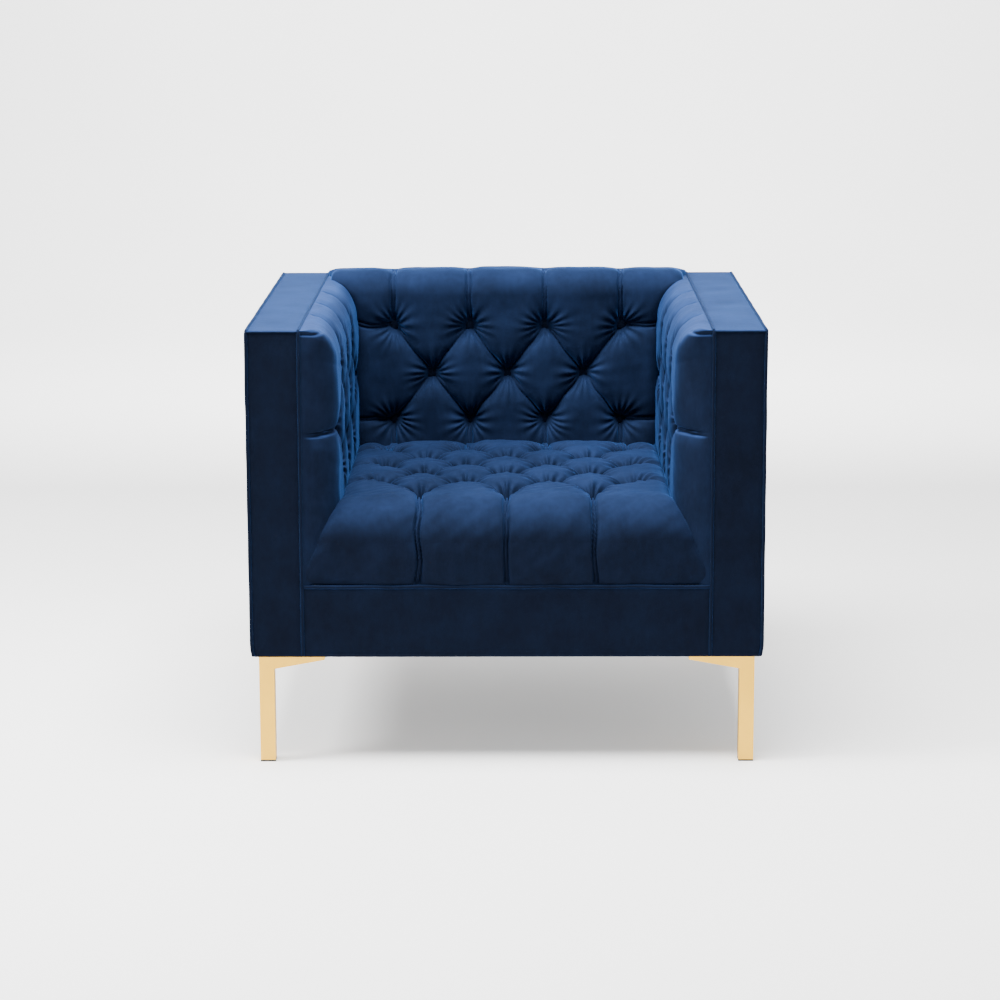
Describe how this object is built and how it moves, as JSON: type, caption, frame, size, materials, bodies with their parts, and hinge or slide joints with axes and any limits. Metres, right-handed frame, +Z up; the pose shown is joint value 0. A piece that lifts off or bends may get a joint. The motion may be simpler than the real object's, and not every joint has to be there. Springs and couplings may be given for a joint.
{
  "type": "upholstered armchair",
  "caption": "Square velvet armchair with diamond-tufted seat, back and inside arms, piped edges and angled metal corner legs.",
  "frame": {"origin": "on the floor under the middle of the chair", "axes": "+X across to the right seen from the front, +Y to the rear, +Z up"},
  "size_m": [0.88, 0.84, 0.772],
  "materials": {
    "velvet": "soft napped upholstery velvet, deep navy",
    "velvet_trim": "velvet-covered piping cord and buttons",
    "foam": "cream polyurethane upholstery foam",
    "timber": "planed beech frame timber",
    "panel": "hardboard panel",
    "spring_steel": "oil-tempered spring wire",
    "screw_steel": "zinc-plated steel",
    "leg_metal": "satin pale gold plated steel",
    "glide_plastic": "black moulded plastic",
    "liner": "black non-woven dust cloth",
    "felt": "needled fibre felt"
  },
  "bodies": {
    "root": {"arm_buttons": "velvet_trim", "back_bottom_rail": "timber", "back_buttons": "velvet_trim", "back_foam": "foam", "back_tack_rail": "timber", "back_top_rail": "timber", "corner_blocks": "timber", "dust_cover": "liner", "edge_roll": "felt", "foot_glides": "glide_plastic", "frame_dowels": "timber", "front_border": "velvet", "front_left_leg": "leg_metal", "front_rail": "timber", "front_right_leg": "leg_metal", "inner_back_panel": "panel", "inner_welts": "velvet_trim", "inside_back_cover": "velvet", "left_arm_facing": "velvet", "left_arm_foam": "foam", "left_arm_tack_rail": "timber", "left_arm_top_band": "velvet", "left_arm_top_board": "timber", "left_front_post": "timber", "left_inner_arm_panel": "panel", "left_inside_arm_cover": "velvet", "left_outer_arm_panel": "panel", "left_outside_arm_cover": "velvet", "left_rear_post": "timber", "left_side_rail": "timber", "leg_screws": "screw_steel", "outer_back_panel": "panel", "outer_welts": "velvet_trim", "outside_back_cover": "velvet", "rear_left_leg": "leg_metal", "rear_right_leg": "leg_metal", "rear_seat_rail": "timber", "right_arm_facing": "velvet", "right_arm_foam": "foam", "right_arm_tack_rail": "timber", "right_arm_top_band": "velvet", "right_arm_top_board": "timber", "right_front_post": "timber", "right_inner_arm_panel": "panel", "right_inside_arm_cover": "velvet", "right_outer_arm_panel": "panel", "right_outside_arm_cover": "velvet", "right_rear_post": "timber", "right_side_rail": "timber", "seat_buttons": "velvet_trim", "seat_cover": "velvet", "seat_foam": "foam", "seat_spring_1": "spring_steel", "seat_spring_2": "spring_steel", "seat_spring_3": "spring_steel", "seat_spring_4": "spring_steel", "seat_spring_5": "spring_steel", "seat_welt": "velvet_trim", "spring_clips": "screw_steel", "spring_insulator": "felt"}
  },
  "joints": []
}
